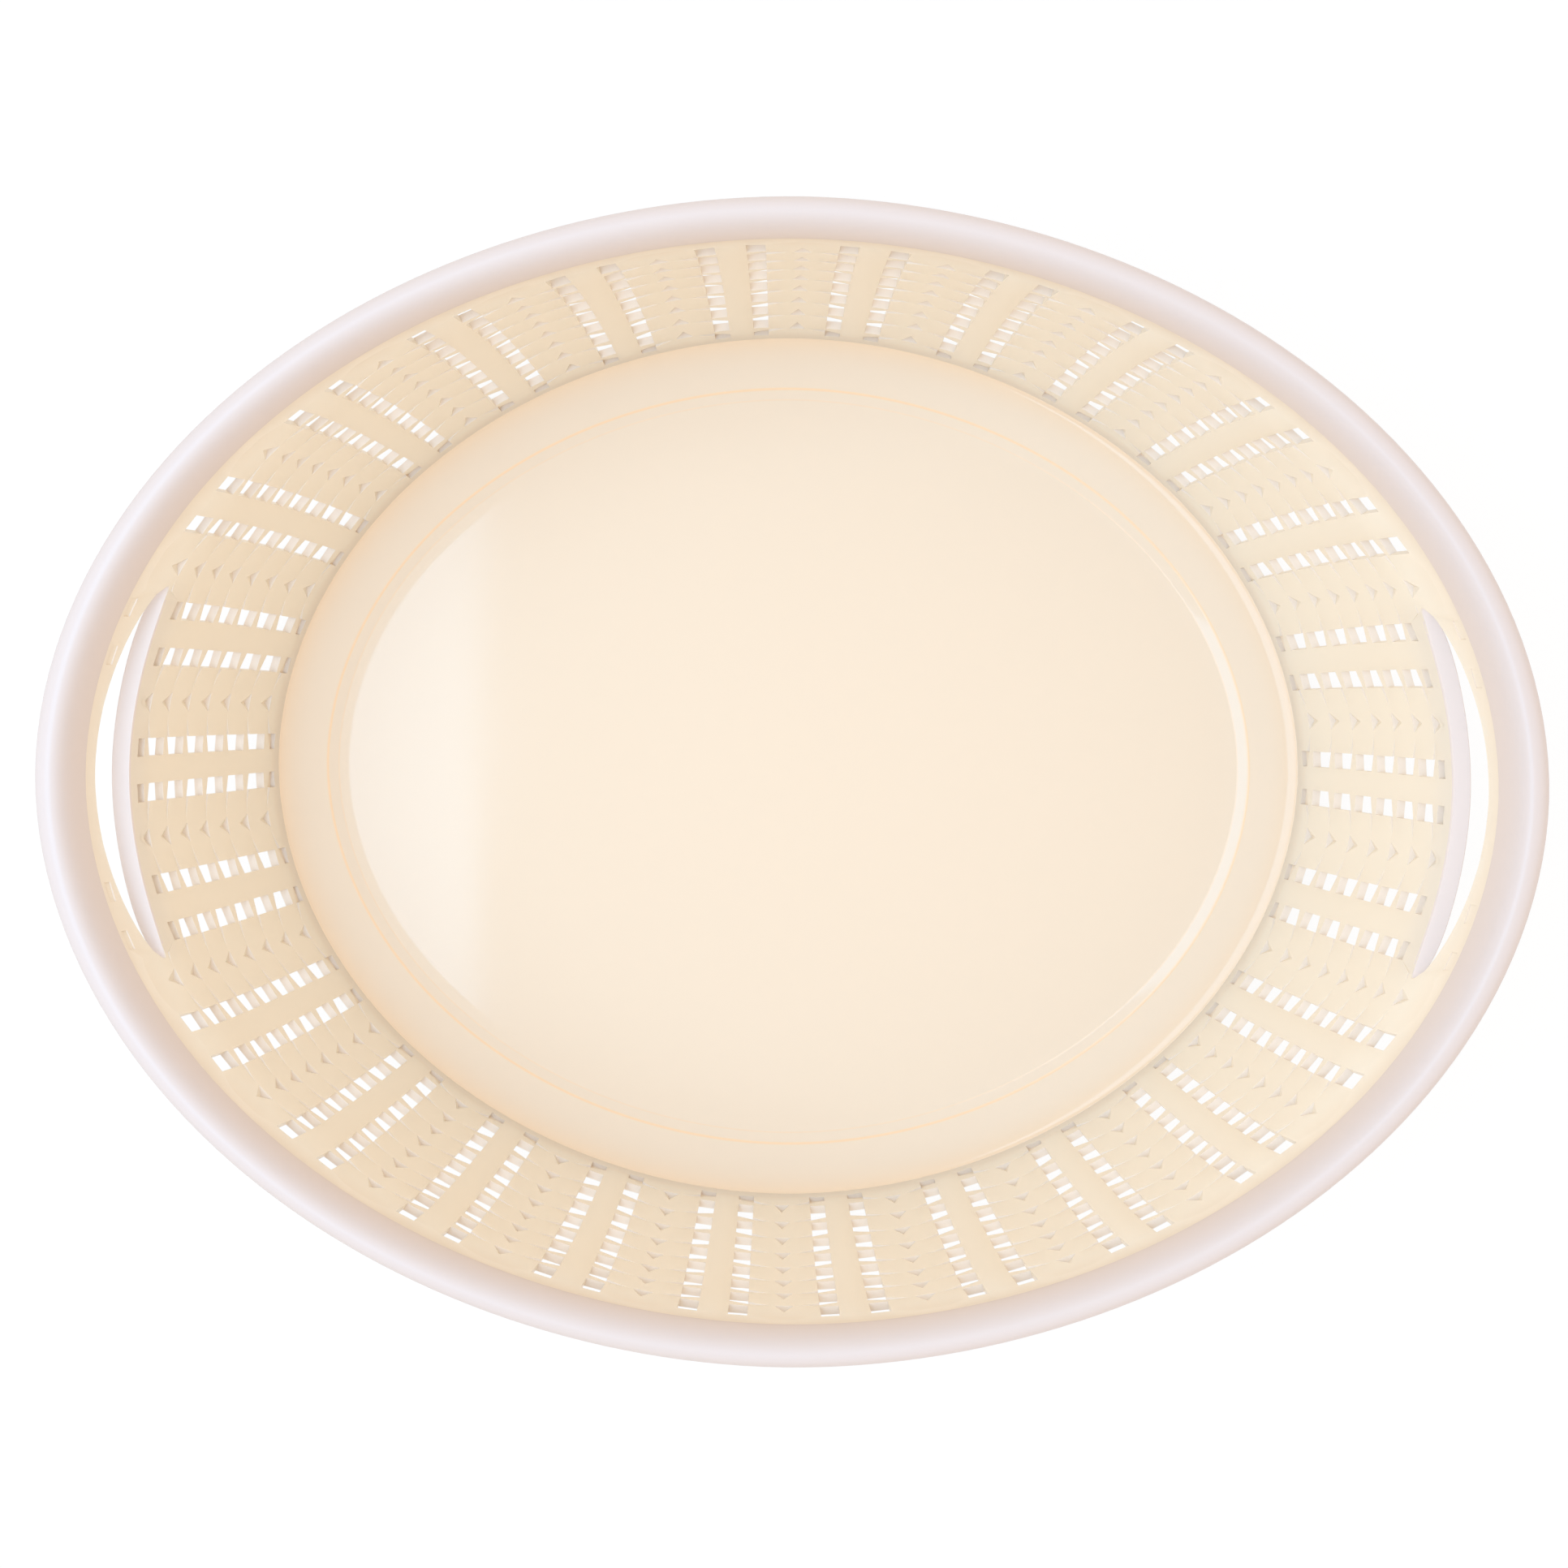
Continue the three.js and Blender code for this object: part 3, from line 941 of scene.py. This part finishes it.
@dataclass(frozen=True)
class FloorShell(Piece):
    """The floor: a flat disc, a step up, and a margin that sweeps up into the wall's foot."""

    stations: int = 180
    rounding: float = 0.3 * MM
    crease_start: float = 5.5 * MM
    crease_end: float = 0.9 * MM
    crease_rise: float = 1.25 * MM
    crease_pull: Pair = (0.32, 0.6)
    crease_steps: int = 8
    # Painted warm shade in the crease at the wall's foot: its strength, how far it reaches and how fast it
    # fades.
    warmth: float = 0.5
    warm_reach: float = 10 * MM
    warm_power: float = 2.2
    name = "floor_shell"
    stems = ("floor_disc", "floor_margin")
    crease: float = 50

    DISC_SHARES = (0.04, 0.2, 0.45, 0.7, 0.88, 0.97)
    SLOPE_SHARES = (0.15, 0.3, 0.45, 0.6, 0.75, 0.9)

    def around(self, base: Pair, offset: float, height: float, warmth: float = 0) -> FloorRing:
        """A ring at a distance outside an oval."""
        return FloorRing((base[0] + offset, base[1] + offset), height, warmth)

    def step(self) -> list[FloorRing]:
        """The step up from the disc, with a line of painted warm shade along its upper edge.

        Returns:
            Its rings. The table gives each one's end of the step, its offsets in roundings and its painted
            warm shade.
        """
        basket = self.basket
        soft = self.rounding
        table = (
            (0, -1.0, 0.0, 0.0), (0, 0.2, 0.25, 0.35), (0, 1.3, 0.75, 0.0), (1, -1.6, -0.9, 0.0),
            (1, -0.3, -0.25, 0.75), (1, 0.6, 0.0, 0.75), (1, 2.0, 0.0, 0.0),
        )
        return [
            self.around(
                basket.disc_half, end * basket.step_run + outward * soft,
                basket.floor_sheet + end * basket.step_rise + up * soft, warmth,
            )
            for end, outward, up, warmth in table
        ]

    def margin(self) -> list[FloorRing]:
        """The slope up to the wall and the hollow crease in which it ends.

        Returns:
            Its rings.
        """
        basket = self.basket
        foot = basket.foot_half
        start = self.step()[-1]
        bend = self.around(foot, -self.crease_start, basket.foot_height - self.crease_rise)
        rings = []
        for share in self.SLOPE_SHARES:
            half = tuple(a + share * (b - a) for a, b in zip(start.half, bend.half))
            height = start.height + share * (bend.height - start.height)
            rings.append(FloorRing(half, height, self.crease_warmth(foot[0] - half[0])))
        control = (-self.crease_pull[0] * self.crease_start, -self.crease_pull[1] * self.crease_rise)
        for step in range(self.crease_steps + 1):
            share = step / self.crease_steps
            near, between, far = (1 - share) ** 2, 2 * share * (1 - share), share ** 2
            offset = near * -self.crease_start + between * control[0] - far * self.crease_end
            rise = near * -self.crease_rise + between * control[1]
            rings.append(self.around(foot, offset, basket.foot_height + rise, self.crease_warmth(-offset)))
        return rings

    def crease_warmth(self, distance: float) -> float:
        """Painted warm shade at a distance from the crease at the wall's foot."""
        near = max(0.0, 1 - (distance - self.crease_end) / self.warm_reach)
        return self.warmth * near ** self.warm_power

    def underside(self) -> list[FloorRing]:
        """The outer face, from the wall's foot down to the face that the basket stands on.

        Returns:
            Its rings. The heel's drops and all distances inward are in millimetres.
        """
        basket = self.basket
        heel = ((0.0, 0.0), (0.2, 1.4), (1.2, 2.3), (4.2, 3.0))
        sole = ((-1.2, basket.step_rise), (0.6, 0.2 * MM), (1.2, 0.0))
        rings = [
            self.around(basket.foot_half, basket.sheet - inward * MM, basket.foot_height - drop * MM)
            for inward, drop in heel
        ]
        return rings + [
            self.around(basket.disc_half, basket.step_run - inward * MM, height) for inward, height in sole
        ]

    def mesh(self) -> Mesh:
        """Runs the floor's surface through its rings.

        Returns:
            The floor's mesh.
        """
        basket = self.basket
        disc = basket.disc_half
        inner = [
            FloorRing((disc[0] * share, disc[1] * share), basket.floor_sheet) for share in self.DISC_SHARES
        ]
        profile = inner + self.step() + self.margin() + self.underside() + [FloorRing(inner[0].half, 0.0)]
        angles = equal_angles(basket.foot_half, basket.power, self.stations)
        rings = [
            [oval_point(ring.half, basket.power, angle, ring.height) for angle in angles] for ring in profile
        ]
        return lofted(self.name, rings, [ring.warmth for ring in profile for _ in angles])


@dataclass(frozen=True)
class GripLip(Piece):
    """The shelf under a hand slot: deepest at its middle, with thin points. side is 1 at the +X end or -1."""

    side: int
    stems: tuple[str]
    height: float = 9 * MM
    fullness: int = 10
    depth: float = 2.9 * MM
    edge: float = 0.3 * MM
    rounding: float = 0.35 * MM
    cover: float = 0.06 * MM
    face: float = 0.12 * MM
    bite: float = 0.3 * MM
    thickness: float = 0.9 * MM
    steps: int = 48
    crease: float = 50

    @property
    def name(self) -> str:
        """The shelf's name."""
        return f"{self.stems[0]}_shelf"

    def reach(self, wall: OvalWall, height: float, outward: float, across: float) -> float:
        """How far out along X the wall lies at a height and a distance from the long axis."""
        share = abs(across) / (wall.half("y", height) + outward)
        return (wall.half("x", height) + outward) * (1 - share ** wall.power) ** (1 / wall.power)

    def mesh(self) -> Mesh:
        """Follows the slot's lower edge along the wall.

        Returns:
            The shelf's mesh.
        """
        basket = self.basket
        wall = basket.wall()
        rings = []
        for step in range(self.steps + 1):
            share = math.sin(math.pi * (step / self.steps - 0.5))
            across = share * basket.grip_length / 2
            top = basket.grip_edge(across, -basket.grip_sag) + self.cover
            bottom = top - self.height
            depth = self.edge + (self.depth - self.edge) * (1 - abs(share) ** self.fullness)
            outside = basket.sheet + depth
            root = basket.sheet - self.bite
            section = [
                (self.face, top), (outside - self.rounding, top), (outside, top - self.rounding),
                (basket.sheet + self.edge, bottom), (root, bottom),
                (root, top - self.thickness), (self.face, top - self.thickness),
            ]
            rings.append([
                Vector((self.side * self.reach(wall, height, outward, across), across, height))
                for outward, height in section
            ])
        return lofted(self.name, rings, [0.0])


@dataclass(frozen=True)
class CreamPlastic:
    """Moulded cream plastic: glossy, a little see-through, with faint unevenness in tint and surface.

    ledge_colour gives faces that lie nearly level a tone of their own, painted light and shade on sills and
    ledges, and warm_colour is painted warm shade in creases, along the floor's step and under the rim.
    """

    name: str
    colour: Triple
    ledge_colour: Triple
    roughness: float
    glow: float = 0.2
    ripple: float = 0.02
    warm_colour: Triple = (0.93, 0.64, 0.38)
    tint_shift: Triple = (0.006, 0.02, 0.044)
    cloud_scale: float = 14.0
    cloud_detail: float = 3.0
    gloss_shift: float = 0.08
    grain_scale: float = 320.0
    grain_detail: float = 2.0
    grain_height: float = 0.0004
    level_from: float = 0.65
    level_to: float = 0.92
    ior: float = 1.49

    def material(self) -> Material:
        """Builds the material.

        Returns:
            The material.
        """
        material = bpy.data.materials.new(self.name)
        web = emptied(material)
        place = web.node("TexCoord").outputs["Object"]
        cloud = web.node("TexNoise", inputs={
            "Vector": place, "Scale": self.cloud_scale, "Detail": self.cloud_detail,
        }).outputs["Fac"]
        tinted = tuple(channel * (1 - shift) for channel, shift in zip(self.colour, self.tint_shift))
        tint = web.node("Mix", {"data_type": "RGBA"}, {0: cloud, 6: (*self.colour, 1.0), 7: (*tinted, 1.0)})
        # Painted light and shade: faces that lie nearly level take the ledge tone in place of the plastic's
        # colour.
        facing = web.node("SeparateXYZ", inputs={0: web.node("NewGeometry").outputs["True Normal"]})
        level = web.node("MapRange", {"interpolation_type": "SMOOTHSTEP"}, {
            "Value": facing.outputs["Z"], "From Min": self.level_from, "From Max": self.level_to,
        })
        colour = web.node("Mix", {"data_type": "RGBA"}, {
            0: level, 6: tint.outputs[2], 7: (*self.ledge_colour, 1.0),
        })
        # Painted warm shade: the per-point attribute mixes in the warm colour in creases, along the floor's
        # step and under the rim.
        warmth = web.node("Attribute", {"attribute_name": PAINTED_SHADE})
        painted_colour = web.node("Mix", {"data_type": "RGBA"}, {
            0: warmth.outputs["Fac"], 6: colour.outputs[2], 7: (*self.warm_colour, 1.0),
        }).outputs[2]
        grain = web.node("TexNoise", inputs={
            "Vector": place, "Scale": self.grain_scale, "Detail": self.grain_detail,
        })
        bump = web.node("Bump", inputs={
            "Strength": self.ripple, "Distance": self.grain_height, "Height": grain,
        })
        solid = web.node("BsdfPrincipled", inputs={
            "Base Color": painted_colour, "Normal": bump, "IOR": self.ior,
            "Roughness": web.term(cloud) * self.gloss_shift + (self.roughness - self.gloss_shift / 2),
        })
        through = web.node("BsdfTranslucent", inputs={"Color": painted_colour})
        shader = web.node("MixShader", inputs={0: self.glow, 1: solid, 2: through})
        web.node("OutputMaterial", inputs={"Surface": shader})
        return material


@dataclass(frozen=True)
class Studio:
    """White floor and surround, one large soft light on the left, and the camera."""

    camera_place: Triple = (-0.0152, 0.0517, 1.105)
    camera_aim: Triple = (-0.0028, 0.0009, 0.115)
    camera_roll: float = math.radians(1.0)
    focal_px: float = 4511.0
    image_px: float = 1932.0
    sensor_width: float = 36.0
    nearest_seen: float = 0.05
    floor_half: float = 4.0
    floor_drop: float = 0.2 * MM
    floor_grey: float = 0.9
    floor_white_share: float = 0.9
    surround_colour: Triple = (1.0, 0.93, 0.86)
    surround_strength: float = 1.2
    softbox_colour: Triple = (0.28, 0.53, 0.80)
    softbox_size: Pair = (1.2, 1.6)
    softbox_watts: float = 26.0
    softbox_edge: float = -0.198
    softbox_height: float = 1.5

    def add_camera(self) -> None:
        """Puts the camera nearly straight above the basket, as in the photograph."""
        data = bpy.data.cameras.new("camera")
        data.sensor_width = self.sensor_width
        data.lens = self.focal_px / self.image_px * data.sensor_width
        data.clip_start = self.nearest_seen
        camera = placed("camera", data)
        camera.location = self.camera_place
        gaze = (Vector(self.camera_aim) - camera.location).normalized()
        right = gaze.cross(Vector((0, 1, 0))).normalized()
        up = right.cross(gaze)
        matrix = camera.matrix_world.to_3x3()
        matrix.col[0] = right * math.cos(self.camera_roll) + up * math.sin(self.camera_roll)
        matrix.col[1] = up * math.cos(self.camera_roll) - right * math.sin(self.camera_roll)
        matrix.col[2] = -gaze
        camera.rotation_euler = matrix.to_euler()
        bpy.context.scene.camera = camera

    def add_floor(self) -> None:
        """A wide pale floor that looks white to the camera and keeps a faint shadow."""
        mesh = bpy.data.meshes.new("studio_floor")
        half = self.floor_half
        mesh.from_pydata(
            [(-half, -half, 0), (half, -half, 0), (half, half, 0), (-half, half, 0)], [], [(0, 1, 2, 3)],
        )
        floor = placed("studio_floor", mesh)
        floor.location.z = -self.floor_drop
        material = bpy.data.materials.new("studio_white")
        web = emptied(material)
        pale = web.node("BsdfDiffuse", inputs={"Color": (*(self.floor_grey,) * 3, 1.0)})
        white = web.node("Emission", inputs={"Color": (1.0, 1.0, 1.0, 1.0), "Strength": 1.0})
        seen = self.seen_ray(web) * self.floor_white_share
        mixed = web.node("MixShader", inputs={0: seen, 1: pale, 2: white})
        web.node("OutputMaterial", inputs={"Surface": mixed})
        mesh.materials.append(material)

    def seen_ray(self, web: NodeWeb) -> Term:
        """1 for rays that look at the background, directly or in a reflection, and 0 for others."""
        ray = web.node("LightPath").outputs
        total = web.term(ray["Is Camera Ray"]) + web.term(ray["Is Glossy Ray"])
        total = total + web.term(ray["Is Transmission Ray"])
        return total.maths("MINIMUM", total, 1.0)

    def add_light(self) -> None:
        """Even warm surround that is seen as white, and a large cooler softbox overhead on the left."""
        world = bpy.data.worlds.new("studio")
        bpy.context.scene.world = world
        web = emptied(world)
        soft = web.node("Background", inputs={
            "Color": (*self.surround_colour, 1.0), "Strength": self.surround_strength,
        })
        white = web.node("Background", inputs={"Color": (1.0, 1.0, 1.0, 1.0), "Strength": 1.0})
        mixed = web.node("MixShader", inputs={0: self.seen_ray(web), 1: soft, 2: white})
        web.node("OutputWorld", inputs={"Surface": mixed})
        lamp = bpy.data.lights.new("softbox", "AREA")
        lamp.shape = "RECTANGLE"
        lamp.size, lamp.size_y = self.softbox_size
        lamp.energy = self.softbox_watts
        lamp.color = self.softbox_colour
        light = placed("softbox", lamp)
        light.location = (self.softbox_edge - lamp.size / 2, 0.0, self.softbox_height)


def main() -> None:
    """Builds the basket and the studio in order."""
    logging.basicConfig(level=logging.INFO, format="%(name)s: %(message)s")
    bpy.context.scene.view_settings.view_transform = "Standard"
    studio = Studio()
    studio.add_camera()
    studio.add_floor()
    studio.add_light()
    basket = Basket()
    wall = (0.97, 0.88, 0.745)
    # The rim's copy of the plastic is darker and pinker, tuned to the light on its top: painted light.
    rim = (0.77, 0.675, 0.64)
    floor = (0.83, 0.685, 0.535)
    # The shelf's copy of the plastic is made lighter against the shade the shelf sits in: painted light.
    shelf = (0.91, 0.81, 0.77)
    shelf_plastic = CreamPlastic("shelf_plastic", shelf, shelf, 0.34).material()
    # The wall's ledge tone is darker and greyer than its colour: painted shade on its sills and ledges.
    WovenWall(
        basket, CreamPlastic("wall_plastic", wall, (0.90, 0.81, 0.72), 0.32, glow=0.3).material(),
    ).build()
    Rim(basket, CreamPlastic("rim_plastic", rim, rim, 0.34).material()).build()
    FloorShell(
        basket, CreamPlastic("floor_plastic", floor, floor, 0.07, glow=0.08, ripple=0.01).material(),
    ).build()
    for side, stem in ((1, "grip_lip_right"), (-1, "grip_lip_left")):
        GripLip(basket, shelf_plastic, side, (stem,)).build()


if __name__ == "__main__":
    main()
